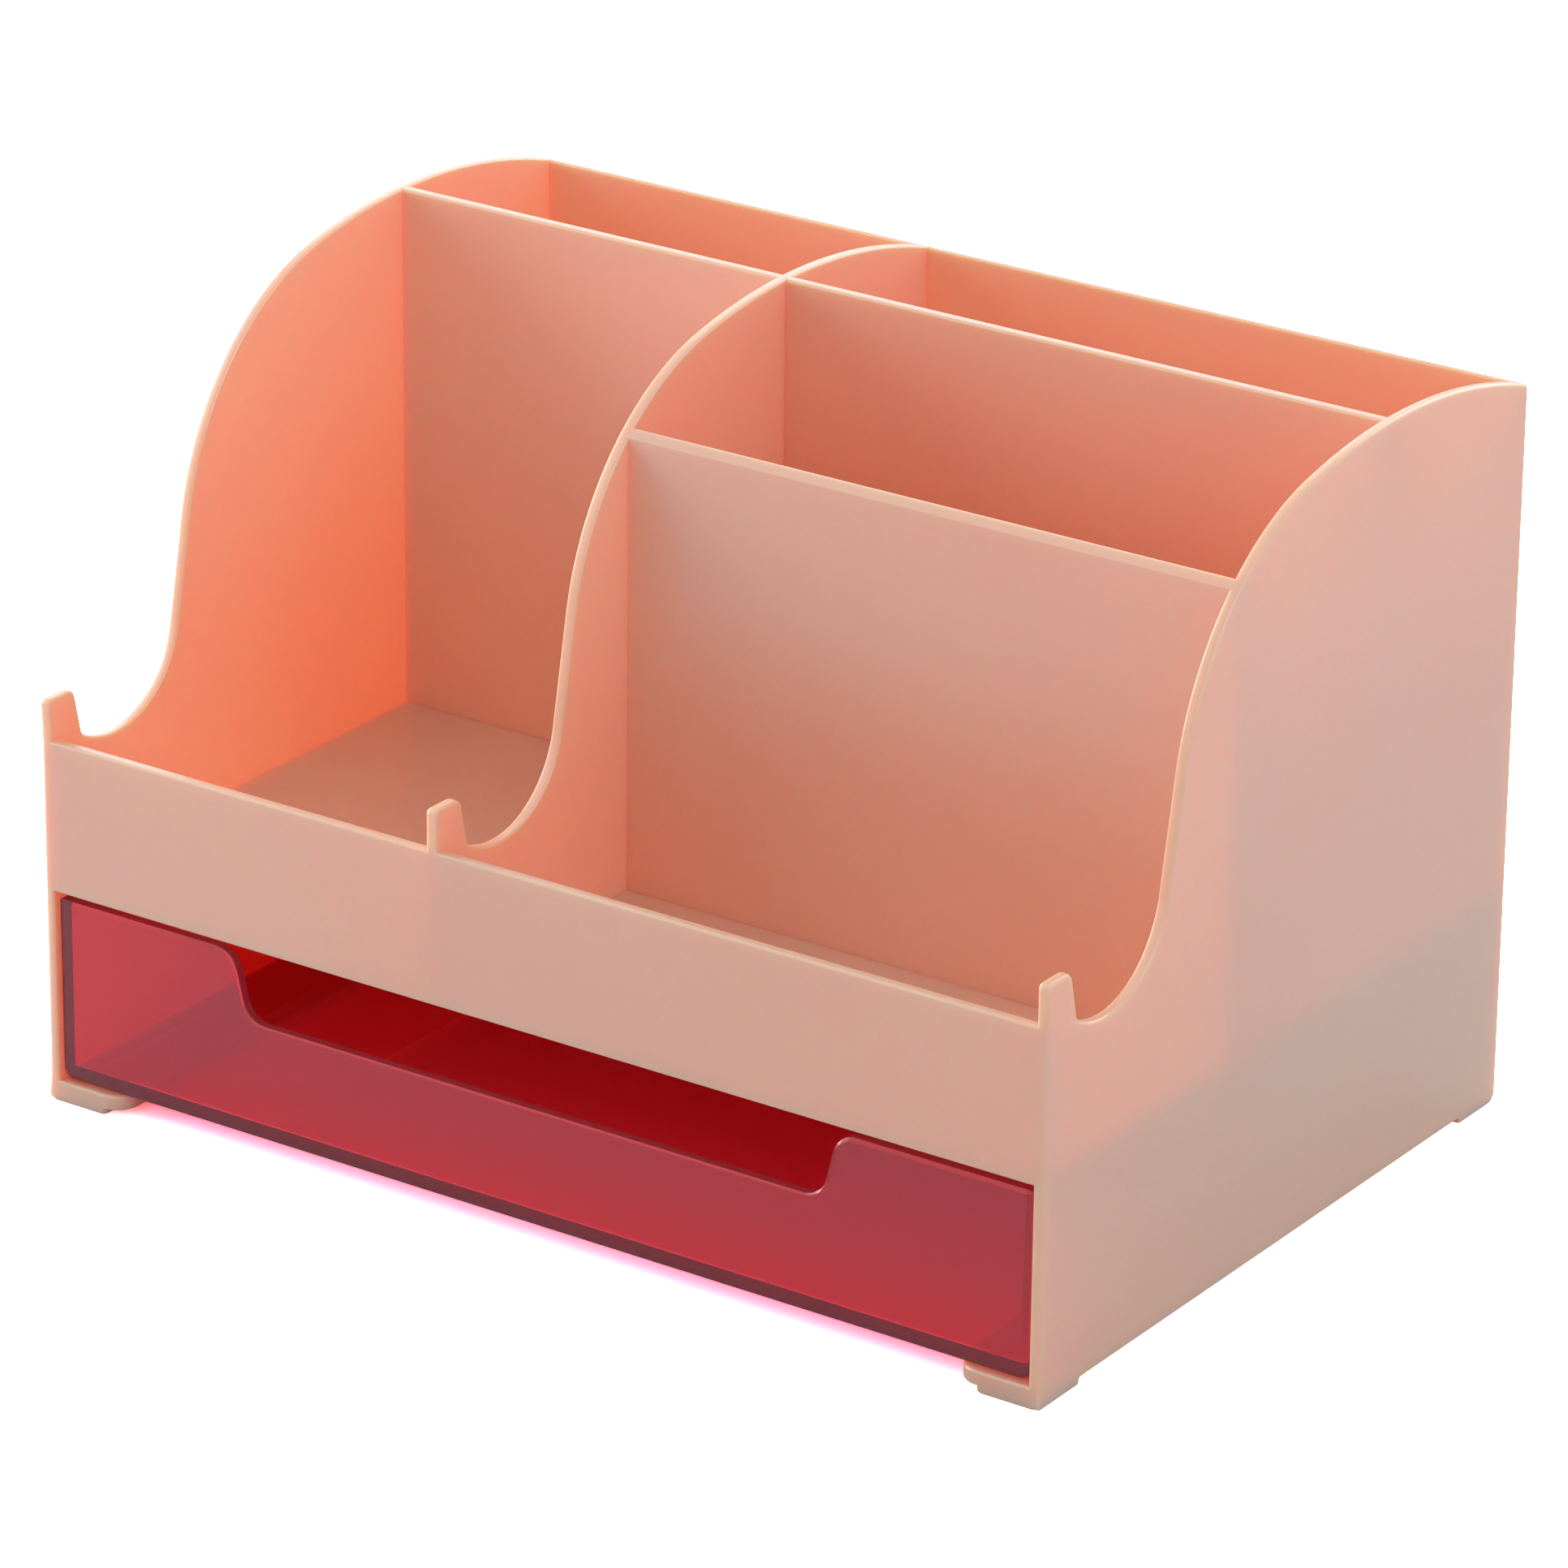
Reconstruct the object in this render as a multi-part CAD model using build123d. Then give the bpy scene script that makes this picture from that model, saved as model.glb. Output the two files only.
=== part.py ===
from build123d import *
import os
from math import cos, radians, sin, sqrt

# Desk pen holder: five open bins over a clear drawer that slides out of the front.
# Millimetres, +Z up. The front faces -Y, and the origin lies on the table under the
# middle of the body. Lengths named "back" or "behind" are measured from the front plane.

# Body, overall
body_width = 200.0
body_depth = 143.5
wall = 2.0                      # every upright wall of the body
floor_thickness = 2.0
floor_underside = 38.9          # also the lower edge of the apron: the top of the drawer bay
apron_top = 66.1

# Side view shared by the three upright walls that run from front to back
horn_top = 73.4
horn_length = 6.9               # at its top, before the corner is rounded
horn_lean = 12.5                # degrees that the horn's rear face leans from upright
horn_front_round = 1.0
horn_rear_round = 2.0
horn_root_round = 2.0
valley_behind = 17.65           # lowest point of the round valley behind the horn
valley_height = 62.1
valley_radius = 17.2
rise_lean = 11.0                # degrees that the straight rise leans from upright
shoulder_radius = 49.0
crest_behind = 103.0            # highest point of the long flat crest
crest_height = 136.5
crest_radius = 124.5

# Bins
left_bin_width = 78.4           # clear width, for a note block of 76 mm
rear_bin_depth = 41.0           # clear depth of the two bins along the back wall
middle_bin_depth = 43.3         # clear depth of the bin between the right hand dividers

# Ledges under the drawer and the feet
foot_height = 1.2
foot_length = 12.0
foot_width = 12.0
foot_round = 1.0
ledge_width = 16.0              # from the outer face of the side wall
ledge_thickness = 2.7
ledge_corner_round = 4.0
rail_width = 4.3                # low rail beside the wall, on which the drawer rides
rail_height = 0.25
rail_behind = 8.0

# Drawer, one clear moulding
drawer_side_gap = 0.4
drawer_glide_gap = 0.2          # above the rails
drawer_top_gap = 1.5            # below the apron
drawer_rear_gap = 0.5           # before the back wall
drawer_recess = 0.8             # of its front behind the front plane
drawer_front_wall = 2.0
drawer_side_wall = 1.6
drawer_rear_wall = 1.6
drawer_floor = 2.0
drawer_bottom_round = 2.0       # the two long bottom edges
drawer_corner_round = 0.8       # inside corners
grip_width = 115.2              # finger cut-out, along its lower edge
grip_depth = 12.2
grip_lean = 14.0                # degrees that its ends lean from upright
grip_round = 4.5

# Softened edges
outer_round = 0.8               # outer edges of the side walls
corner_round = 1.2              # upright corners of the body, seen from above
heel_round = 2.0                # bottom rear edge of the body
edge_round = 0.5

# Values that follow from the ones above
front_y = -body_depth / 2
rear_y = body_depth / 2
left_x = -body_width / 2
right_x = body_width / 2
inner_left_x = left_x + wall
inner_right_x = right_x - wall
middle_wall_x = inner_left_x + left_bin_width
floor_top = floor_underside + floor_thickness
ledge_top = foot_height + ledge_thickness
rear_divider_behind = body_depth - wall - rear_bin_depth - wall
front_divider_behind = rear_divider_behind - middle_bin_depth - wall


def behind(distance):
    """Y of a plane that lies this far behind the front plane."""
    return front_y + distance


def block(x0, x1, y0, y1, z0, z1):
    """Box between two corners."""
    corner = (Align.MIN, Align.MIN, Align.MIN)
    return Pos(x0, y0, z0) * Box(x1 - x0, y1 - y0, z1 - z0, align=corner)


def side_view(x):
    """Plane across the body at x: its own x runs back from the front plane, its y runs up."""
    return Plane(origin=(x, front_y, 0), x_dir=(0, 1, 0), z_dir=(1, 0, 0))


def polar(centre, radius, direction):
    """Point on a circle, in a unit direction from its centre."""
    return (centre[0] + radius * direction[0], centre[1] + radius * direction[1])


def wall_profile(x, lower_front):
    """Face of an upright wall seen from the side, on the plane at x.

    lower_front lists the points from the bottom rear corner to the horn's front face.
    From there the line runs over the horn, down to the round valley, up the straight
    rise, round the shoulder and along the crest to the back. The arcs are tangent.
    """
    up = (sin(radians(rise_lean)), cos(radians(rise_lean)))
    across = (cos(radians(rise_lean)), -sin(radians(rise_lean)))
    valley = (valley_behind, valley_height + valley_radius)
    rise_start = polar(valley, valley_radius, across)

    # The shoulder's centre lies one radius beside the rise, inside the crest's circle.
    crest = (crest_behind, crest_height - crest_radius)
    beside = polar(rise_start, shoulder_radius, across)
    gap = (beside[0] - crest[0], beside[1] - crest[1])
    along = gap[0] * up[0] + gap[1] * up[1]
    reach = crest_radius - shoulder_radius
    rise_length = -along + sqrt(along**2 - gap[0]**2 - gap[1]**2 + reach**2)
    rise_end = polar(rise_start, rise_length, up)
    shoulder = polar(beside, rise_length, up)
    outward = ((shoulder[0] - crest[0]) / reach, (shoulder[1] - crest[1]) / reach)
    crest_start = polar(crest, crest_radius, outward)
    crest_end = (body_depth, crest[1] + sqrt(crest_radius**2 - (body_depth - crest[0])**2))

    # The horn's rear face runs down until it meets the valley.
    down = (sin(radians(horn_lean)), -cos(radians(horn_lean)))
    horn_corner = (horn_length, horn_top)
    gap = (horn_corner[0] - valley[0], horn_corner[1] - valley[1])
    along = gap[0] * down[0] + gap[1] * down[1]
    horn_drop = -along + sqrt(along**2 - gap[0]**2 - gap[1]**2 + valley_radius**2)
    horn_root = polar(horn_corner, horn_drop, down)

    with BuildSketch() as profile:
        with BuildLine():
            Polyline(*lower_front, (0, horn_top), horn_corner, horn_root)
            valley_low = (valley_behind, valley_height)
            ThreePointArc(horn_root, valley_low, rise_start)
            Line(rise_start, rise_end)
            bisector = (outward[0] - across[0], outward[1] - across[1])
            length = sqrt(bisector[0]**2 + bisector[1]**2)
            half_way = (bisector[0] / length, bisector[1] / length)
            ThreePointArc(rise_end, polar(shoulder, shoulder_radius, half_way), crest_start)
            ThreePointArc(crest_start, (crest_behind, crest_height), crest_end)
            Line(crest_end, lower_front[0])
        make_face()
        corners = [
            ((0, horn_top), horn_front_round),
            (horn_corner, horn_rear_round),
            (horn_root, horn_root_round),
        ]
        for point, radius in corners:
            fillet(profile.vertices().sort_by_distance((*point, 0))[0], radius)
    return side_view(x) * profile.sketch


def top_edges(solid, x):
    """Edges of a wall's top line on its face at x, from the horn to the back."""
    chosen = ShapeList()
    for edge in solid.edges():
        centre = edge.center()
        flat = abs(centre.X - x) < 0.01 and edge.bounding_box().size.X < 0.01
        upper = centre.Z > valley_height - 1
        inside = front_y + 0.01 < centre.Y < rear_y - 0.01
        if flat and upper and inside:
            chosen.append(edge)
    return chosen


def envelope():
    """Block round the whole body: upright corners rounded in one, the heel in the other."""
    solid = block(left_x, right_x, front_y, rear_y, 0, crest_height + wall)
    seen_from_above = fillet(solid.edges().filter_by(Axis.Z), corner_round)
    heel = solid.edges().filter_by(Axis.X).sort_by_distance((0, rear_y, 0))[0]
    seen_from_the_side = fillet(heel, heel_round)
    return seen_from_above & seen_from_the_side


def side_wall(x, outer_x):
    """Upright side wall from x to x + wall, standing on its feet."""
    lower_front = [(body_depth, foot_height), (0, foot_height)]
    solid = extrude(wall_profile(x, lower_front), wall)
    inner_x = x if outer_x > x else x + wall
    solid = fillet(top_edges(solid, inner_x), edge_round)
    solid = fillet(top_edges(solid, outer_x), outer_round)
    return solid & envelope()


def middle_wall():
    """Upright wall between the left bin and the right hand bins, lapped over the apron."""
    lower_front = [
        (body_depth - wall, floor_top),
        (wall, floor_top),
        (wall, apron_top),
        (0, apron_top),
    ]
    whole = extrude(wall_profile(middle_wall_x, lower_front), wall)
    ahead_of_back = block(left_x, right_x, front_y, rear_y - wall, 0, crest_height + wall)
    solid = whole & ahead_of_back
    for x in (middle_wall_x, middle_wall_x + wall):
        solid = fillet(top_edges(solid, x), edge_round)
    return solid


def skyline():
    """The side view drawn across the whole width: cross walls are cut to its height."""
    lower_front = [(body_depth, 0), (0, 0)]
    return extrude(wall_profile(left_x, lower_front), body_width)


def cross_wall(x0, x1, distance, bottom):
    """Wall across the body whose front face lies this far back, its top on the skyline."""
    y0 = behind(distance)
    raw = block(x0, x1, y0, y0 + wall, bottom, crest_height + wall)
    solid = raw & skyline()
    upper = solid.edges().filter_by(Axis.X).sort_by(Axis.Z)[-2:]
    return fillet(upper, edge_round) & envelope()


def front_apron():
    """Low front wall of the bins, over the drawer."""
    y0 = front_y
    solid = block(inner_left_x, inner_right_x, y0, y0 + wall, floor_underside, apron_top)
    return fillet(solid.edges().filter_by(Axis.X).sort_by(Axis.Z)[-2:], edge_round)


def bin_floor():
    """Floor of all the bins, and roof of the drawer bay."""
    y0, y1 = behind(wall), rear_y - wall
    return block(inner_left_x, inner_right_x, y0, y1, floor_underside, floor_top)


def ledge(side):
    """Ledge along one side wall, under the drawer; side is -1 at the left, 1 at the right."""
    y1 = rear_y - wall
    inner = side * (body_width / 2 - wall)
    edge = side * (body_width / 2 - ledge_width)
    rail = side * (body_width / 2 - wall - rail_width)
    plate = block(min(inner, edge), max(inner, edge), front_y, y1, foot_height, ledge_top)
    corner = plate.edges().filter_by(Axis.Z).sort_by_distance((edge, front_y, ledge_top))[0]
    plate = fillet(corner, ledge_corner_round)
    x0, x1 = min(inner, rail), max(inner, rail)
    strip = block(x0, x1, behind(rail_behind), y1, ledge_top, ledge_top + rail_height)
    return plate + strip


def foot(side, end):
    """Corner foot; side is -1 at the left and 1 at the right, end is -1 in front, 1 behind."""
    x_out, x_in = side * body_width / 2, side * (body_width / 2 - foot_width)
    y_out, y_in = end * body_depth / 2, end * (body_depth / 2 - foot_length)
    x0, x1 = min(x_out, x_in), max(x_out, x_in)
    y0, y1 = min(y_out, y_in), max(y_out, y_in)
    solid = block(x0, x1, y0, y1, 0, foot_height)
    inner_corner = solid.edges().filter_by(Axis.Z).sort_by_distance((x_in, y_in, 0))[0]
    return fillet(inner_corner, foot_round) & envelope()


def drawer():
    """Clear drawer with a finger cut-out in the rim of its front."""
    x0, x1 = inner_left_x + drawer_side_gap, inner_right_x - drawer_side_gap
    y0, y1 = behind(drawer_recess), rear_y - wall - drawer_rear_gap
    z0, z1 = ledge_top + rail_height + drawer_glide_gap, floor_underside - drawer_top_gap
    shell = block(x0, x1, y0, y1, z0, z1)
    long_bottom = shell.edges().filter_by(Axis.Y).group_by(Axis.Z)[0]
    shell = fillet(long_bottom, drawer_bottom_round)

    above_rim = z1 + drawer_top_gap
    inside = block(
        x0 + drawer_side_wall,
        x1 - drawer_side_wall,
        y0 + drawer_front_wall,
        y1 - drawer_rear_wall,
        z0 + drawer_floor,
        above_rim,
    )
    lower_and_upright = inside.edges().group_by(Axis.Z)[0] + inside.edges().filter_by(Axis.Z)
    shell = shell - fillet(lower_and_upright, drawer_corner_round)

    # The cut-out widens upwards, and its slanted ends run on above the rim.
    low = z1 - grip_depth
    half_low = grip_width / 2
    widening = sin(radians(grip_lean)) / cos(radians(grip_lean))
    half_high = half_low + (above_rim - low) * widening
    front_face = Plane(origin=(0, y0, 0), x_dir=(1, 0, 0), z_dir=(0, -1, 0))
    with BuildSketch(front_face) as grip:
        with BuildLine():
            lower = [(-half_low, low), (half_low, low)]
            Polyline(*lower, (half_high, above_rim), (-half_high, above_rim), close=True)
        make_face()
        fillet(grip.vertices().group_by(Axis.Z)[0], grip_round)
    shell = shell - extrude(grip.sketch, -drawer_front_wall)

    # The rim's two corners beside the cut-out are rounded like its lower corners.
    half_rim = half_low + grip_depth * widening
    for x in (-half_rim, half_rim):
        corner = shell.edges().filter_by(Axis.Y).sort_by_distance((x, y0, z1))[0]
        shell = fillet(corner, grip_round)
    return shell


def save(shape, name):
    """Write one piece to its own file."""
    export_step(shape, f"parts/{name}.step")


os.makedirs("parts", exist_ok=True)

save(side_wall(left_x, left_x), "left_side_wall")
save(side_wall(inner_right_x, right_x), "right_side_wall")
save(middle_wall(), "middle_wall")
save(cross_wall(inner_left_x, inner_right_x, body_depth - wall, foot_height), "back_wall")

right_bins_x = middle_wall_x + wall
save(cross_wall(inner_left_x, middle_wall_x, rear_divider_behind, floor_top), "rear_divider_left")
save(cross_wall(right_bins_x, inner_right_x, rear_divider_behind, floor_top), "rear_divider_right")
save(cross_wall(right_bins_x, inner_right_x, front_divider_behind, floor_top), "front_divider")

save(front_apron(), "front_apron")
save(bin_floor(), "bin_floor")

for side, side_name in ((-1, "left"), (1, "right")):
    save(ledge(side), f"{side_name}_drawer_ledge")
    for end, end_name in ((-1, "front"), (1, "rear")):
        save(foot(side, end), f"{side_name}_{end_name}_foot")

save(drawer(), "drawer")
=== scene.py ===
# %% [markdown]
# # A desk pen holder with a clear drawer
#
# The real object is two mouldings. The body is one skin of translucent pink plastic,
# 2 mm thick: three walls with a curved side view, dividers between them, a low apron in
# front, and ledges and feet below. The drawer is a clear crimson tray that slides out
# on two ledges, with no separate runners.
#
# The measured model is loaded first. It gives the place and size of each piece, so that
# what is made here lies where its solid lies. Only what a box can't tell, such as the
# arcs of the side view or how soft an edge is, is written out here.

# %% Load the measured model
from math import cos, radians, sin, sqrt, tan

import bmesh
import bpy
import numpy as np
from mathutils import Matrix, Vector


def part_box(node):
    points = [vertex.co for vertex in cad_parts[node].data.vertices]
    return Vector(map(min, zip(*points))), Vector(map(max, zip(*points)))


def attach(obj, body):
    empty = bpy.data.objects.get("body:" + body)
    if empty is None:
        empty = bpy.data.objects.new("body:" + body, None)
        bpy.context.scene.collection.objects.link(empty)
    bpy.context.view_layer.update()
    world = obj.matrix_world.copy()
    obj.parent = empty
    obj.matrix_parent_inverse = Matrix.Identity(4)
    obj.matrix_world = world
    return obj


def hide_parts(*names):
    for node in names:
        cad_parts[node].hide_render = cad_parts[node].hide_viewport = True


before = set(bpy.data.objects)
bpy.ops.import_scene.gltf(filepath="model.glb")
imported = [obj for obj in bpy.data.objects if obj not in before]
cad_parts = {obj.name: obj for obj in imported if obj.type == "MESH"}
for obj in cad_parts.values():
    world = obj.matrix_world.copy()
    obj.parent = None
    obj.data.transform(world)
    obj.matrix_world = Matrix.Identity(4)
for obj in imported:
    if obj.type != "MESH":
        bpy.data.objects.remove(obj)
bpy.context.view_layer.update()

# %% [markdown]
# ## Outlines and plates
#
# A thin moulding is mostly plates: a flat outline with some thickness and a softened
# edge. Such an edge could be left to a Bevel modifier, but on a wall with a curved top
# that bevels the hollow corners too. Here an outline is a list of points, worked out
# from straight legs and arcs, and a plate is that outline carried from one face to the
# other, drawn in a little at each face along a quarter circle. Lengths are millimetres
# until the mesh is made.

# %% Arcs and rounded corners
METRE = 1000.0
SAME_PLACE = 1e-4


def arc(centre, radius, start, end, count=24):
    """Points on a circle: the centre plus the radius times (cos, sin) of each angle.

    The angles run evenly from start to end, in degrees.
    """
    angle = np.radians(np.linspace(start, end, count))
    return np.asarray(centre) + radius * np.stack([np.cos(angle), np.sin(angle)], axis=1)


def corner(before, at, after, radius, count=7):
    """A corner at a point, rounded between the legs to the points before and after it.

    The arc's centre lies on the line that halves the corner, radius / sin(half the angle)
    away, and its ends lie radius / tan(half the angle) along the legs.
    """
    before, at, after = np.asarray(before), np.asarray(at), np.asarray(after)
    leg_in = (before - at) / np.linalg.norm(before - at)
    leg_out = (after - at) / np.linalg.norm(after - at)
    half = np.arccos(np.clip(leg_in @ leg_out, -1, 1)) / 2
    middle = (leg_in + leg_out) / np.linalg.norm(leg_in + leg_out)
    centre = at + middle * radius / np.sin(half)
    first = at + leg_in * radius / np.tan(half) - centre
    last = at + leg_out * radius / np.tan(half) - centre
    start = np.arctan2(first[1], first[0])
    turn = np.arctan2(first[0] * last[1] - first[1] * last[0], first @ last)
    return arc(centre, radius, np.degrees(start), np.degrees(start + turn), count)


def without_repeats(points):
    """The same points, less each one that lies where the one before it does."""
    steps = np.linalg.norm(points - np.roll(points, 1, axis=0), axis=1)
    return points[steps > SAME_PLACE]


def rounded(points, radii):
    """A closed outline through these points, each corner rounded with its own radius."""
    points = np.asarray(points, dtype=float)
    pieces = []
    for before, at, after, radius in zip(
        np.roll(points, 1, axis=0), points, np.roll(points, -1, axis=0), radii
    ):
        pieces.append(corner(before, at, after, radius) if radius else at[None])
    return np.concatenate(pieces)


# %% Plates with softened edges
EDGE_STEPS = 6
WELD = 1e-4
ACROSS = {"x": (2, 0, 1), "y": (0, 2, 1), "z": (0, 1, 2)}


def drawn_in(outline, distance):
    """The closed outline moved inwards by a distance, one number or one for each point.

    Each point moves along (n1 + n2) / (1 + n1 . n2), where n1 and n2 are the unit
    normals of its two legs, so that both legs move by the distance.
    """
    following = np.roll(outline, -1, axis=0)
    legs = following - outline
    legs /= np.linalg.norm(legs, axis=1, keepdims=True)
    area = np.sum(outline[:, 0] * following[:, 1] - outline[:, 1] * following[:, 0])
    out_leg = np.stack([-legs[:, 1], legs[:, 0]], axis=1) * np.sign(area)
    in_leg = np.roll(out_leg, 1, axis=0)
    share = 1 + np.sum(in_leg * out_leg, axis=1, keepdims=True)
    return outline + (in_leg + out_leg) / share * np.reshape(distance, (-1, 1))


def solid_of_rings(name, rings):
    """A closed mesh from rings of points: quads between the rings, a flat face at each end."""
    count, around = rings.shape[:2]
    index = np.arange(count * around).reshape(count, around)
    here, beside = index, np.roll(index, -1, axis=1)
    quads = np.stack([here[:-1], beside[:-1], beside[1:], here[1:]], axis=-1).reshape(-1, 4)
    faces = quads.tolist() + [index[0][::-1].tolist(), index[-1].tolist()]
    mesh = bpy.data.meshes.new(name)
    mesh.from_pydata((rings.reshape(-1, 3) / METRE).tolist(), [], faces)
    form = bmesh.new()
    form.from_mesh(mesh)
    bmesh.ops.remove_doubles(form, verts=form.verts, dist=WELD / METRE)
    bmesh.ops.recalc_face_normals(form, faces=form.faces)
    form.to_mesh(mesh)
    form.free()
    piece = bpy.data.objects.new(name, mesh)
    bpy.context.scene.collection.objects.link(piece)
    return piece


def plate(name, outline, across, low, high, low_round=0.0, high_round=0.0):
    """The outline carried from low to high along one axis, with quarter-round edges.

    At the angle t of a quarter circle of radius r, the outline is drawn in by
    r (1 - sin t) and lies r (1 - cos t) from the face. A radius may be one number or
    one for each point of the outline.
    """
    rings = []
    angles = np.radians(np.linspace(0, 90, EDGE_STEPS))
    for face, inwards, radius in ((low, 1, low_round), (high, -1, high_round)):
        radius = np.broadcast_to(radius, len(outline)).astype(float)
        edge = []
        for angle in angles if radius.any() else angles[-1:]:
            flat = drawn_in(outline, radius * (1 - sin(angle)))
            depth = face + inwards * radius * (1 - cos(angle))
            edge.append(np.stack([flat[:, 0], flat[:, 1], depth], axis=1))
        rings += edge if inwards == 1 else edge[::-1]
    return solid_of_rings(name, np.stack(rings)[:, :, ACROSS[across]])


# %% Join plates into one skin
SLIVER, FLAT = 0.006, 0.05


def joined(name, pieces, hollows=()):
    """One closed skin round all the plates, less the hollows, by a Boolean of each in turn.

    The cuts leave slivers, so points closer than SLIVER millimetres are merged, and
    faces that differ in direction by less than FLAT degrees become one.
    """
    first, others = pieces[0], pieces[1:]
    for other in others + list(hollows):
        step = first.modifiers.new(other.name, "BOOLEAN")
        step.operation = "DIFFERENCE" if other in hollows else "UNION"
        step.solver = "MANIFOLD"
        step.object = other
    evaluated = first.evaluated_get(bpy.context.evaluated_depsgraph_get())
    mesh = bpy.data.meshes.new_from_object(evaluated)
    mesh.name = name
    whole = bpy.data.objects.new(name, mesh)
    bpy.context.scene.collection.objects.link(whole)
    for piece in pieces + list(hollows):
        bpy.data.meshes.remove(piece.data)
    mesh.materials.clear()
    form = bmesh.new()
    form.from_mesh(mesh)
    bmesh.ops.remove_doubles(form, verts=form.verts, dist=SLIVER / METRE)
    bmesh.ops.dissolve_limit(form, angle_limit=radians(FLAT), verts=form.verts, edges=form.edges)
    open_edges = sum(not edge.is_manifold for edge in form.edges)
    form.to_mesh(mesh)
    form.free()
    print(name, "has", len(mesh.polygons), "faces and", open_edges, "open edges")
    return whole


def softly_shaded(piece, crease=35.0):
    """Smooth shading over the rounded edges; flat faces keep their own normals."""
    piece.data.shade_smooth()
    piece.data.set_sharp_from_angle(angle=radians(crease))
    weighted = piece.modifiers.new("flat faces lead", "WEIGHTED_NORMAL")
    weighted.mode = "FACE_AREA"
    weighted.keep_sharp = True
    return piece


# %% [markdown]
# ## The side view
#
# All three upright walls show the same line from the side: a small horn in front, a
# round valley, a straight rise that leans back, a wide shoulder and a long flat crest.
# It could be drawn as a free curve, but moulds are cut from arcs, and tangent arcs
# measure the same in the photograph. So each arc is worked out from the one before.

# %% Sizes of the side view
horn_top, horn_length, horn_lean = 73.4, 6.9, 12.5
horn_front_round, horn_rear_round, horn_root_round = 1.0, 2.0, 2.0
valley, valley_radius = np.array([17.65, 79.3]), 17.2
rise_lean, shoulder_radius = 11.0, 49.0
crest, crest_radius = np.array([103.0, 12.0]), 124.5

node_boxes = np.array([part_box(node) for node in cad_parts]) * METRE
body_low, body_high = node_boxes[:, 0].min(axis=0), node_boxes[:, 1].max(axis=0)
front, rear = body_low[1], body_high[1]
depth = rear - front
print("depth", round(depth, 2), "mm, crest", round(body_high[2], 2), "mm high")


# %% Arcs from the back to the horn
def skyline():
    """The top line from the back wall to the horn's front face, in (behind, height).

    The shoulder's centre lies its own radius beside the straight rise, and the crest's
    radius less its own from the crest's centre, so both joints are tangent.
    """
    up = np.array([sin(radians(rise_lean)), cos(radians(rise_lean))])
    across = np.array([cos(radians(rise_lean)), -sin(radians(rise_lean))])
    beside = valley + (valley_radius + shoulder_radius) * across
    gap = beside - crest
    reach = crest_radius - shoulder_radius
    along = gap @ up
    shoulder = beside + up * (sqrt(along**2 - gap @ gap + reach**2) - along)
    outward = shoulder - crest
    turn = np.degrees(np.arctan2(outward[1], outward[0]))
    back = np.degrees(np.arccos((depth - crest[0]) / crest_radius))

    # The horn's rear face leans; a small arc joins it to the valley from inside.
    down = np.array([sin(radians(horn_lean)), -cos(radians(horn_lean))])
    aside = np.array([cos(radians(horn_lean)), sin(radians(horn_lean))])
    rear_top = np.array([horn_length, horn_top])
    offset = rear_top + horn_root_round * aside - valley
    along = offset @ down
    slack = valley_radius - horn_root_round
    root = valley + offset + down * (sqrt(along**2 - offset @ offset + slack**2) - along)
    to_root = np.degrees(np.arctan2(*(root - valley)[::-1]))

    line = [
        arc(crest, crest_radius, back, turn, 60),
        arc(shoulder, shoulder_radius, turn, 180 - rise_lean, 40),
        arc(valley, valley_radius, -rise_lean, to_root, 48),
        arc(root, horn_root_round, to_root, -180 + horn_lean, 8),
        corner(root - horn_root_round * aside, rear_top, (0, horn_top), horn_rear_round, 10),
        corner(rear_top, (0, horn_top), (0, 0), horn_front_round, 7),
    ]
    return without_repeats(np.concatenate(line))


top_line = skyline()
print("top line:", len(top_line), "points, highest", round(top_line[:, 1].max(), 2))


def top_at(behind):
    """Height of the top line this far behind the front plane, for the cross walls."""
    rising = top_line[top_line[:, 0] > valley[0] + valley_radius]
    order = np.argsort(rising[:, 0])
    return float(np.interp(behind, rising[order, 0], rising[order, 1]))


# %% [markdown]
# ## The three upright walls
#
# On the real moulding the side walls stand on feet, so their lower line has a low step
# at each end. The outer edge is softer than the inner one, and softest down the front
# corners, where a hand meets it. The middle wall starts inside the bins' floor and laps
# over the apron. Plates that meet are made to overlap a little, and the overlap goes
# when they are joined.

# %% Places of the walls, from the measured model, and the softness of their edges
def box(node):
    """Lowest and highest corner of a measured solid, in millimetres."""
    return [np.array(corner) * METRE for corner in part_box(node)]


wall = box("left_side_wall")[1][0] - box("left_side_wall")[0][0]
outer, inner = body_high[0], body_high[0] - wall
middle_low, middle_high = box("middle_wall")[0][0], box("middle_wall")[1][0]
floor_low, floor_high = box("bin_floor")[0][2], box("bin_floor")[1][2]
apron_top = box("front_apron")[1][2]
foot_high = box("left_front_foot")[1][2]
foot_in = box("left_front_foot")[1][0] - body_low[0]
overlap = wall / 2
inner_round, outer_round, front_round, heel_round = 0.5, 0.8, 1.2, 2.0
foot_round, sole_round, top_rear_round, toe_round = 0.5, 0.35, 0.95, 1.0
front_top, front_points = 72.0, 24
print("walls", round(wall, 2), "mm; bins' floor", round(floor_low, 1), "to", round(floor_high, 1))


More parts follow.
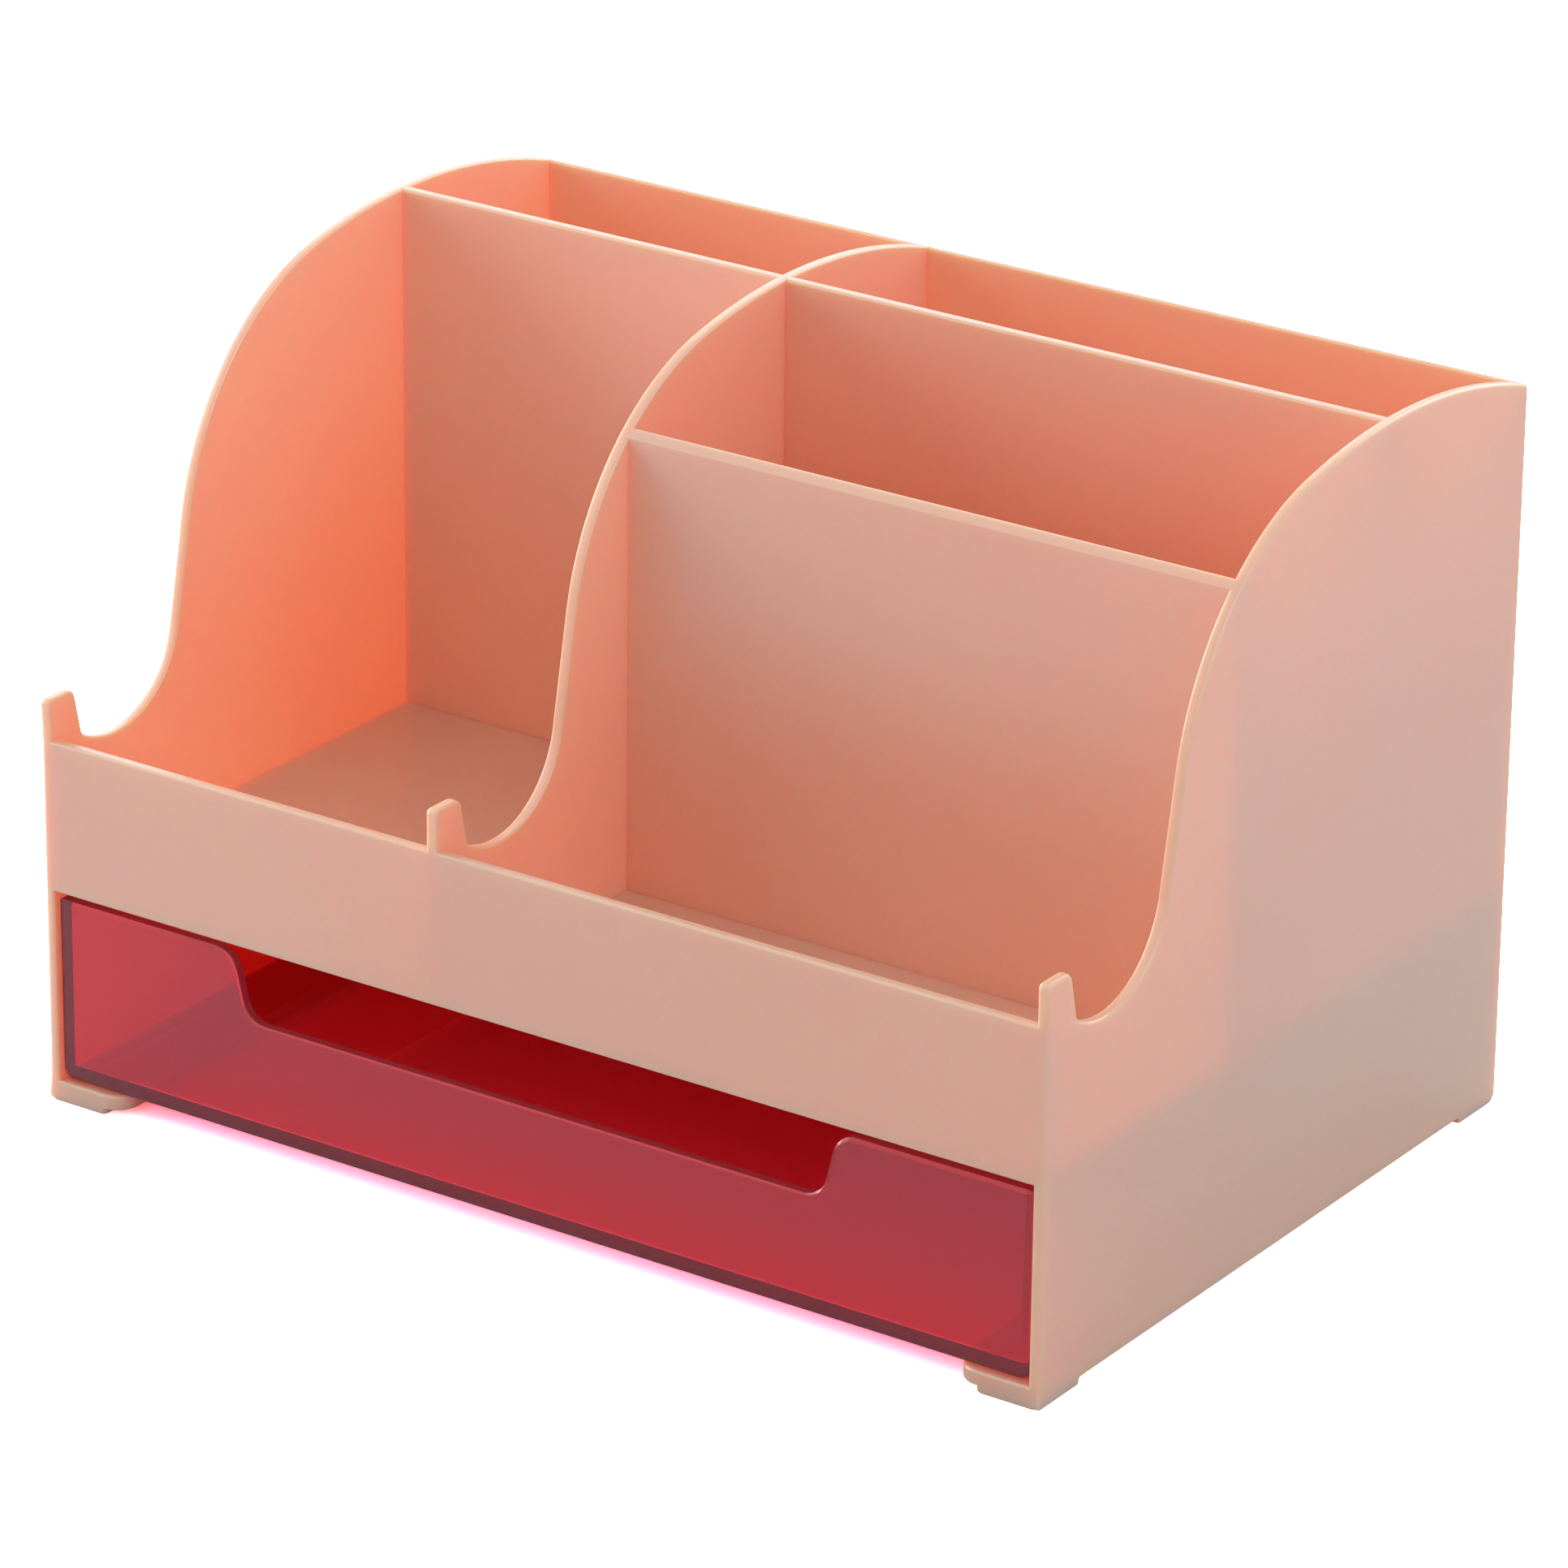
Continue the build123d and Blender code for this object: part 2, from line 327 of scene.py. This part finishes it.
# %% Side walls
def side_outline():
    """The side walls' outline in (behind, height), anticlockwise from the front foot.

    Each low corner is given by a point on the leg before it, itself, a point on the leg
    after it, and its radius. The front edge gets points of its own, from under the horn
    to just above the toe, because its softness changes with height.
    """
    low = [
        ((0, 20), (0, 0), (5, 0), toe_round),
        ((5, 0), (foot_in, 0), (foot_in, 1), foot_round),
        ((foot_in, 0), (foot_in, foot_high), (50, foot_high), foot_round),
        ((50, foot_high), (depth - foot_in, foot_high), (depth - foot_in, 0), foot_round),
        ((depth - foot_in, 1), (depth - foot_in, 0), (depth, 0), foot_round),
        ((depth - foot_in, 0), (depth, 0), (depth, 20), heel_round),
        ((depth, 20), (depth, top_line[0, 1]), tuple(top_line[1]), top_rear_round),
    ]
    pieces = [corner(*place) for place in low] + [top_line[2:]]
    up_front = np.linspace(front_top, 1.4 * toe_round, front_points)
    front_line = np.stack([np.zeros(front_points), up_front], axis=1)
    return without_repeats(np.concatenate(pieces + [front_line]))


outline = side_outline()
behind, height = outline.T
front_reach, front_fade, horn_fade, foot_fade = 0.4, 0.3, 5.0, 4.0
below_horn = np.clip((front_top - height) / horn_fade, 0, 1)
at_front = np.clip((front_reach - behind) / front_fade, 0, 1) * below_horn
above_feet = np.clip((height - foot_high) / foot_fade, 0, 1)
upper_edge = outer_round + (front_round - outer_round) * at_front
outer_edge = sole_round + (upper_edge - sole_round) * above_feet
inner_edge = sole_round + (inner_round - sole_round) * above_feet
outline = outline + [front, 0]
side_walls = [
    plate("left_wall", outline, "x", -outer, -inner, outer_edge, inner_edge),
    plate("right_wall", outline, "x", inner, outer, inner_edge, outer_edge),
]
print("side walls:", len(outline), "points around")

# %% Middle wall
from_floor, into_back = floor_high - overlap, depth - overlap
lower = [
    (wall / 2, apron_top - wall),
    (wall / 2, from_floor),
    (into_back, from_floor),
    (into_back, top_at(into_back)),
]
kept = top_line[top_line[:, 0] < into_back]
middle_outline = without_repeats(np.concatenate([kept, [(0, apron_top - wall)], lower]))
middle_wall = plate(
    "middle_wall_plate", middle_outline + [front, 0], "x",
    middle_low, middle_high, inner_round, inner_round,
)
print("middle wall:", len(middle_outline), "points around")

# %% [markdown]
# ## Cross walls, apron and floor
#
# Each cross wall is a section in side view carried across the body. Its two top edges
# are softened, and its top follows the skyline, so it is flush with the walls that it
# runs between.

# %% Cross walls, from their sections
def cross_wall(name, node, low_x, high_x, bottom, corner_radii):
    """A wall across the body where the measured solid stands, from low_x to high_x."""
    near, far = box(node)[0][1] - front, box(node)[1][1] - front
    section = [(near, bottom), (far, bottom), (far, top_at(far)), (near, top_at(near))]
    outline = rounded(section, corner_radii) + [front, 0]
    return plate(name, outline, "x", low_x, high_x)


rim = (0, 0, inner_round, inner_round)
rear_foot_round = heel_round * 0.95
cross_walls = [
    cross_wall("rear_wall_plate", "back_wall", -inner - overlap, inner + overlap,
               foot_high, (0, rear_foot_round, inner_round, inner_round)),
    cross_wall("left_divider_plate", "rear_divider_left", -inner - overlap,
               middle_low + overlap, floor_high - overlap, rim),
    cross_wall("right_divider_plate", "rear_divider_right", middle_high - overlap,
               inner + overlap, floor_high - overlap, rim),
    cross_wall("front_divider_plate", "front_divider", middle_high - overlap,
               inner + overlap, floor_high - overlap, rim),
]
print("cross walls:", len(cross_walls))

# %% Apron and floor
clearance, apron_foot_round = 0.05, 0.4
into_wall = outer - front_round - clearance
apron_section = [(0, floor_low), (wall, floor_low), (wall, apron_top), (0, apron_top)]
apron_outline = rounded(apron_section, (apron_foot_round, 0, inner_round, inner_round)) + [front, 0]
apron = plate("apron_plate", apron_outline, "x", -into_wall, into_wall)

floor_section = np.array([
    (overlap, floor_low), (into_back, floor_low), (into_back, floor_high), (overlap, floor_high)
])
bins_floor = plate("floor_plate", floor_section + [front, 0], "x", -inner - overlap, inner + overlap)
print("apron", round(apron_top - floor_low, 1), "mm high")

# %% [markdown]
# ## Ledges and feet
#
# The drawer rides on a ledge along each side wall, with a low rail beside the wall. The
# front corner of a ledge is rounded, so that it clears the fingers. The feet are steps
# just over a millimetre high in the same moulding. Each is drawn once, for the right
# side, and mirrored for the left.

# %% Ledges and rails
def into_the_walls(edge, start, radius):
    """A strip's outline: from an inner edge into the side wall, from start into the back."""
    aside, back = inner + overlap, rear - overlap
    return rounded(
        [(edge, start), (aside, start), (aside, back), (edge, back)], (radius, 0, 0, 0)
    )


def both_sides(name, outline, low, high, low_round, high_round):
    """The same plate at the right and, mirrored, at the left."""
    mirrored = (outline * [-1, 1])[::-1]
    return [
        plate(name + "_right", outline, "z", low, high, low_round, high_round),
        plate(name + "_left", mirrored, "z", low, high, low_round, high_round),
    ]


ledge_thick, ledge_nose, ledge_round = 2.7, 4.0, 0.5
rail_width, rail_behind, rail_round = 4.3, 8.0, 0.15
ledge_low, ledge_high = box("right_drawer_ledge")
ledge_top = foot_high + ledge_thick
ledge_outline = into_the_walls(ledge_low[0], front, ledge_nose)
rail_outline = into_the_walls(inner - rail_width, front + rail_behind, rail_round)
supports = both_sides("ledge", ledge_outline, foot_high, ledge_top, ledge_round, ledge_round)
supports += both_sides("rail", rail_outline, ledge_top - ledge_round, ledge_high[2], 0, rail_round)
print("ledges", round(ledge_thick, 1), "mm thick,", round(ledge_high[0] - ledge_low[0], 1), "mm wide")

# %% Feet
foot_edge, foot_corner, foot_lap = outer - foot_in, 1.0, 1.0
in_wall, in_ledge = outer - foot_lap, ledge_top - foot_lap
for end, y_out in ((1, front), (-1, rear)):
    y_in = y_out + end * foot_in
    foot_outline = rounded(
        [(foot_edge, y_out), (in_wall, y_out), (in_wall, y_in), (foot_edge, y_in)],
        (foot_corner, 0, 0, foot_corner),
    )
    supports += both_sides(f"foot_{end}", foot_outline, 0, in_ledge, foot_round, 0)
print("feet", round(foot_high, 1), "mm high,", round(foot_in, 1), "mm along each side")

# %% Body in one skin
plates = side_walls + [middle_wall] + cross_walls + [apron, bins_floor] + supports
body_shell = softly_shaded(joined("body_shell", plates))

# %% [markdown]
# ## The drawer
#
# The drawer is a clear tray. Clear plastic shows its own thickness: light that runs a
# long way inside it comes out dark, so the edges of its panes look a deep red. A single
# sheet with a painted edge could not do that. The tray is therefore a true solid: a
# front pane with a finger cut-out in its rim, a channel behind it, and a rear pane,
# joined in one skin. A narrow slope runs round the face of the front pane.

# %% Outline of the front pane
tray_low, tray_high = box("drawer")
half = tray_high[0]
bottom, rim_height = tray_low[2], tray_high[2]
pane, side_pane, tray_floor = 2.0, 1.6, 2.0
tray_round, inside_round, rim_round, face_round = 2.0, 0.8, 0.5, 0.4
grip_half, grip_depth, grip_lean, grip_round = 57.6, 12.2, 14.0, 4.5

grip_low = rim_height - grip_depth
slope_side, slope_bottom, slope_rim, slope_grip = 0.9, 1.0, 0.7, 0.4
slope_depth, grip_slope_depth, slope_round, least_turn = 0.45, 0.3, 0.3, 0.1


def front_outline(share):
    """The front pane's outline in (x, z), each edge drawn in by a share of its slope.

    The slanted sides of the grip move square to themselves, so their ends shift along x
    by the slope's width / cos(lean), and by tan(lean) for each step in height. Each
    corner's radius is its full one less what the slope on its two edges takes, and the
    outline always has the same number of points, in eight corners.
    """
    side, low, rim, grip = share * np.array([slope_side, slope_bottom, slope_rim, slope_grip])
    lean, aside = tan(radians(grip_lean)), grip / cos(radians(grip_lean))
    out, under, over = half - side, bottom + low, rim_height - rim
    grip_in = grip_half + aside - grip * lean
    grip_out = grip_half + aside + (over - grip_low) * lean
    foot_turn = max(tray_round - (side + low) / 2, least_turn)
    rim_turn = max(rim_round - side, least_turn)
    grip_turn = grip_round - (rim + grip) / 2
    return rounded(
        [(-out, under), (out, under), (out, over), (grip_out, over), (grip_in, grip_low - grip),
         (-grip_in, grip_low - grip), (-grip_out, over), (-out, over)],
        (foot_turn, foot_turn, rim_turn, grip_turn, grip_round + grip,
         grip_round + grip, grip_turn, rim_turn),
    )


full = front_outline(0.0)
print("front pane:", len(full), "points around,", round(2 * half, 1), "mm wide")

# %% Front pane, ring after ring from its face to its back
slack = 0.01
on_rim = full[:, 1] > grip_low - slack
clear_of_sides = np.abs(full[:, 0]) < half - side_pane - slack
rear_edge = face_round * (on_rim & clear_of_sides)

# A row for each corner; the slope grows shallower from the rim down into the grip.
corners = 8
at_corner = np.full((corners, len(full) // corners), slope_depth)
at_corner[3] = np.linspace(slope_depth, grip_slope_depth, at_corner.shape[1])
at_corner[4:6] = grip_slope_depth
at_corner[6] = at_corner[3][::-1]

# The slope's section as (drawn in, deep), both as shares of the slope's own size.
slope = [(slope_side * 2, 0), (slope_side, 0), (0, slope_depth), (0, pane)]
profile = np.concatenate([
    corner(*slope[:3], slope_round), corner(*slope[1:], slope_round)
]) / (slope_side, slope_depth)
pane_rings = []
for share, deep in profile:
    flat = front_outline(share)
    pane_rings.append(np.column_stack([flat, tray_low[1] + deep * at_corner.reshape(-1)]))
for angle in np.radians(np.linspace(90, 0, EDGE_STEPS)):
    flat = drawn_in(full, rear_edge * (1 - sin(angle)))
    level = tray_low[1] + pane - rear_edge * (1 - cos(angle))
    pane_rings.append(np.column_stack([flat, level]))
front_pane = solid_of_rings("front_pane", np.stack(pane_rings)[:, :, ACROSS["y"]])
print("front pane:", len(pane_rings), "rings")

# %% Channel and rear pane
channel_outline = rounded(
    [(-half, bottom), (half, bottom), (half, rim_height), (half - side_pane, rim_height),
     (half - side_pane, bottom + tray_floor), (-half + side_pane, bottom + tray_floor),
     (-half + side_pane, rim_height), (-half, rim_height)],
    (tray_round, tray_round, rim_round, rim_round,
     inside_round, inside_round, rim_round, rim_round),
)
channel = plate(
    "channel", channel_outline, "y", tray_low[1] + pane / 2, tray_high[1] - side_pane / 2
)
rear_pane_outline = rounded(
    [(-half, bottom), (half, bottom), (half, rim_height), (-half, rim_height)],
    (tray_round, tray_round, rim_round, rim_round),
)
rear_pane = plate(
    "rear_pane", rear_pane_outline, "y", tray_high[1] - side_pane, tray_high[1], 0.0, face_round
)
print("tray", round(tray_high[1] - tray_low[1], 1), "mm deep,", round(rim_height - bottom, 1), "mm high")

# %% [markdown]
# ## Soft corners inside the tray
#
# Where the channel meets the panes, a real moulding has small hollow rounds, because
# sharp inner corners crack. A Bevel modifier could round them, but it needs clean edges
# that a Boolean doesn't leave. So the corners are filled with small blocks first, and
# one block with soft edges, the size of the tray's inside, is taken away from the whole.

# %% Inner corners of the tray, filled and then hollowed with a soft form
lap = slack * 2
well_side = half - side_pane - slack
well_front, well_rear = tray_low[1] + pane + slack, tray_high[1] - side_pane - slack
well_floor = bottom + tray_floor + slack
well = plate(
    "well",
    rounded(
        [(-well_side, well_front), (well_side, well_front),
         (well_side, well_rear), (-well_side, well_rear)],
        [inside_round] * 4,
    ),
    "z", well_floor, rim_height + pane, inside_round,
)
fillers = []
for inwards, at in ((1, well_front), (-1, well_rear)):
    near, far = sorted((at - inwards * lap, at + inwards * inside_round))
    for side in (-1, 1):
        inner_x, outer_x = sorted((side * (well_side - inside_round), side * (well_side + lap)))
        upright = np.array([(inner_x, near), (outer_x, near), (outer_x, far), (inner_x, far)])
        fillers.append(plate(
            f"upright_{inwards}_{side}", upright, "z", well_floor - lap, rim_height - rim_round
        ))
    low, high = well_floor - lap, well_floor + inside_round
    along_floor = np.array([(near, low), (far, low), (far, high), (near, high)])
    fillers.append(plate(f"floor_corner_{inwards}", along_floor, "x", -well_side, well_side))
tray_pieces = [front_pane, channel, rear_pane] + fillers
clear_drawer = softly_shaded(joined("clear_drawer", tray_pieces, [well]))

# %% [markdown]
# ## Pink plastic
#
# Thin translucent plastic glows where light stands behind it, and what comes through
# is redder than what is thrown back, because every turn inside takes out a little more
# of the blue and green. A painted gradient would be wrong as soon as the lamp moved, so
# the shader lets light wander inside the walls. The mould leaves a fine satin grain.

# %% Pink plastic
def pink_plastic():
    """Principled shader with light wandering inside; colour, gloss and grain from noise."""
    material = bpy.data.materials.new("pink_translucent_plastic")
    material.use_nodes = True
    nodes, links = material.node_tree.nodes, material.node_tree.links
    shader = nodes["Principled BSDF"]
    shader.subsurface_method = "RANDOM_WALK"
    shader.inputs["Subsurface Weight"].default_value = 1.0
    shader.inputs["Subsurface Scale"].default_value = 0.005
    shader.inputs["Subsurface Radius"].default_value = (1.1, 0.56, 0.22)
    shader.inputs["IOR"].default_value = 1.59
    shader.inputs["Specular IOR Level"].default_value = 0.85

    place = nodes.new("ShaderNodeTexCoord")
    clouds = nodes.new("ShaderNodeTexNoise")
    clouds.inputs["Scale"].default_value = 22.0
    clouds.inputs["Detail"].default_value = 3.0
    links.new(place.outputs["Object"], clouds.inputs["Vector"])
    tint = nodes.new("ShaderNodeValToRGB")
    tint.color_ramp.elements[0].position = 0.3
    tint.color_ramp.elements[0].color = (0.95, 0.553, 0.375, 1)
    tint.color_ramp.elements[1].position = 0.7
    tint.color_ramp.elements[1].color = (0.96, 0.578, 0.395, 1)
    links.new(clouds.outputs["Fac"], tint.inputs["Fac"])
    links.new(tint.outputs["Color"], shader.inputs["Base Color"])

    gloss = nodes.new("ShaderNodeMapRange")
    gloss.inputs["To Min"].default_value = 0.27
    gloss.inputs["To Max"].default_value = 0.36
    links.new(clouds.outputs["Fac"], gloss.inputs["Value"])
    links.new(gloss.outputs["Result"], shader.inputs["Roughness"])

    grain = nodes.new("ShaderNodeTexNoise")
    grain.inputs["Scale"].default_value = 2600.0
    grain.inputs["Detail"].default_value = 2.0
    links.new(place.outputs["Object"], grain.inputs["Vector"])
    bump = nodes.new("ShaderNodeBump")
    bump.inputs["Strength"].default_value = 0.12
    bump.inputs["Distance"].default_value = 0.0001
    links.new(grain.outputs["Fac"], bump.inputs["Height"])
    links.new(bump.outputs["Normal"], shader.inputs["Normal"])
    return material


# %% [markdown]
# ## Clear crimson plastic
#
# The tray looks bright where one pane is in the way and deep red where light runs along
# a pane. Colour on the surface alone would be the same everywhere, so most of it is in
# the depth: the volume takes up green at once and blue more slowly. A little colour on
# the surface keeps the panes from going grey where they are seen at a flat angle.

# %% Clear crimson plastic
def crimson_plastic():
    """Clear shader with most of its colour in its depth: light fades along its way."""
    material = bpy.data.materials.new("crimson_clear_plastic")
    material.use_nodes = True
    nodes, links = material.node_tree.nodes, material.node_tree.links
    shader = nodes["Principled BSDF"]
    shader.inputs["Base Color"].default_value = (0.97, 0.32, 0.36, 1)
    shader.inputs["Transmission Weight"].default_value = 0.88
    shader.inputs["IOR"].default_value = 1.49
    place = nodes.new("ShaderNodeTexCoord")
    clouds = nodes.new("ShaderNodeTexNoise")
    clouds.inputs["Scale"].default_value = 40.0
    links.new(place.outputs["Object"], clouds.inputs["Vector"])
    gloss = nodes.new("ShaderNodeMapRange")
    gloss.inputs["To Min"].default_value = 0.01
    gloss.inputs["To Max"].default_value = 0.04
    links.new(clouds.outputs["Fac"], gloss.inputs["Value"])
    links.new(gloss.outputs["Result"], shader.inputs["Roughness"])

    # Lamps and scattered light pass straight through; the depth still tints them.
    ray = nodes.new("ShaderNodeLightPath")
    either = nodes.new("ShaderNodeMath")
    either.operation = "MAXIMUM"
    links.new(ray.outputs["Is Shadow Ray"], either.inputs[0])
    links.new(ray.outputs["Is Diffuse Ray"], either.inputs[1])
    straight = nodes.new("ShaderNodeBsdfTransparent")
    mix = nodes.new("ShaderNodeMixShader")
    out = nodes["Material Output"]
    links.new(either.outputs[0], mix.inputs["Fac"])
    links.new(shader.outputs["BSDF"], mix.inputs[1])
    links.new(straight.outputs["BSDF"], mix.inputs[2])
    links.new(mix.outputs["Shader"], out.inputs["Surface"])

    depth_tint = nodes.new("ShaderNodeVolumeAbsorption")
    depth_tint.inputs["Color"].default_value = (0.98, 0.0, 0.3, 1)
    depth_tint.inputs["Density"].default_value = 400.0
    links.new(depth_tint.outputs["Volume"], out.inputs["Volume"])
    return material


# %% Dress the two mouldings
body_shell.data.materials.append(pink_plastic())
clear_drawer.data.materials.append(crimson_plastic())

body_nodes = [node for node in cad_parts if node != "drawer"]
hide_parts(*body_nodes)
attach(body_shell, "holder_body")
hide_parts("drawer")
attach(clear_drawer, "drawer_body")
print("body stands for", len(body_nodes), "measured solids")

# %% [markdown]
# ## Camera, floor and light
#
# A long lens from the front right and above. The floor and the surroundings are white
# to the eye. A white floor that bright would also throw far too much light up into the
# plastic, so Light Path tells the kinds of ray apart: the camera sees the floor white,
# rays through the clear drawer see it a little brighter than it is, and the light that
# it gives back stays soft and plain. The lamps are slightly tinted, which stands in for
# the photograph's white balance.

# %% Camera
camera = bpy.data.objects.new("camera", bpy.data.cameras.new("camera"))
bpy.context.scene.collection.objects.link(camera)
camera.location = (0.70350, -1.02961, 0.58037)
camera.rotation_euler = [radians(angle) for angle in (67.279, -0.593, 34.538)]
camera.data.lens = 185.26
camera.data.sensor_width = 36.0
camera.data.clip_start, camera.data.clip_end = 0.05, 30.0
bpy.context.scene.camera = camera
print("camera", round(camera.location.length, 2), "m away, lens", round(camera.data.lens, 1), "mm")


# %% Floor
def by_ray(nodes, links, usual, *special):
    """A colour for rays that carry light, and a grey of its own for each kind named.

    Each kind of ray mixes its grey over what the ones before it gave, by a factor that
    is 1 for that kind and 0 for all others.
    """
    ray = nodes.new("ShaderNodeLightPath")
    before = None
    for kind, grey in special:
        step = nodes.new("ShaderNodeMix")
        step.data_type = "RGBA"
        links.new(ray.outputs[kind], step.inputs["Factor"])
        step.inputs["A"].default_value = (*usual, 1)
        if before:
            links.new(before, step.inputs["A"])
        step.inputs["B"].default_value = (grey, grey, grey, 1)
        before = step.outputs["Result"]
    return before


reach = 4.0
floor_mesh = bpy.data.meshes.new("floor")
floor_mesh.from_pydata(
    [(-reach, -reach, 0), (reach, -reach, 0), (reach, reach, 0), (-reach, reach, 0)],
    [], [(0, 1, 2, 3)],
)
floor = bpy.data.objects.new("floor", floor_mesh)
bpy.context.scene.collection.objects.link(floor)
floor_material = bpy.data.materials.new("pale_floor")
floor_material.use_nodes = True
nodes, links = floor_material.node_tree.nodes, floor_material.node_tree.links
shown = by_ray(
    nodes, links, (0.8, 0.8, 0.8),
    ("Is Glossy Ray", 0.8), ("Is Transmission Ray", 1.5), ("Is Camera Ray", 6.0),
)
matt = nodes.new("ShaderNodeBsdfDiffuse")
links.new(shown, matt.inputs["Color"])
links.new(matt.outputs["BSDF"], nodes["Material Output"].inputs["Surface"])
floor_mesh.materials.append(floor_material)
print("floor", 2 * reach, "m square")


# %% Lamps
def soft_lamp(name, place, target, size, power, colour):
    """A square lamp at a place, turned to its target; size in metres, power in watts."""
    data = bpy.data.lights.new(name, "AREA")
    data.shape, data.size, data.energy, data.color = "SQUARE", size, power, colour
    lamp = bpy.data.objects.new(name, data)
    bpy.context.scene.collection.objects.link(lamp)
    lamp.location = place
    aim = np.array(target) - np.array(place)
    lamp.rotation_euler = Vector(aim).to_track_quat("-Z", "Y").to_euler()
    return lamp


middle, lamp_size = (0, 0, 0.06), 1.0
soft_lamp("key", (-1.4, 0.0, 0.45), middle, lamp_size, 13.5, (1.12, 1.0, 1.1))
soft_lamp("key_front", (-1.3, -0.45, 0.55), middle, lamp_size, 5.0, (1.0, 1.0, 1.25))
soft_lamp("back_left", (-1.0, 1.0, 0.7), middle, lamp_size, 4.0, (1.05, 1.0, 1.05))
soft_lamp("back", (0.1, 1.4, 0.8), middle, lamp_size, 8.3, (1.0, 1.0, 1.08))
soft_lamp("over", (0.0, 0.0, 1.5), middle, lamp_size, 1.0, (1.5, 1.0, 0.85))
soft_lamp("fill", (1.3, -0.2, 0.8), middle, lamp_size, 3.5, (0.85, 1.0, 1.25))
print("lamps, in watts:", {lamp.name: round(lamp.energy, 1) for lamp in bpy.data.lights})

# %% Surroundings
world = bpy.data.worlds.new("surroundings")
world.use_nodes = True
bpy.context.scene.world = world
nodes, links = world.node_tree.nodes, world.node_tree.links
seen_white = ("Is Glossy Ray", 1.0), ("Is Transmission Ray", 1.0), ("Is Camera Ray", 1.0)
glow = by_ray(nodes, links, (0.39, 0.41, 0.48), *seen_white)
links.new(glow, nodes["Background"].inputs["Color"])
bpy.context.scene.view_settings.view_transform = "Standard"

# %% [markdown]
# ## How often light may turn
#
# Light in a deep pink bin is thrown from wall to wall many times, and each turn makes it
# redder. Cycles stops scattered light after four turns unless it is told otherwise, which
# leaves the bins too dark, and clear panes one behind another need more turns as well.

# %% Let light turn often enough to fill the deep bins
cycles = bpy.context.scene.cycles
cycles.max_bounces, cycles.diffuse_bounces = 40, 24
cycles.transmission_bounces, cycles.transparent_max_bounces = 24, 24
print("light may turn", cycles.diffuse_bounces, "times")
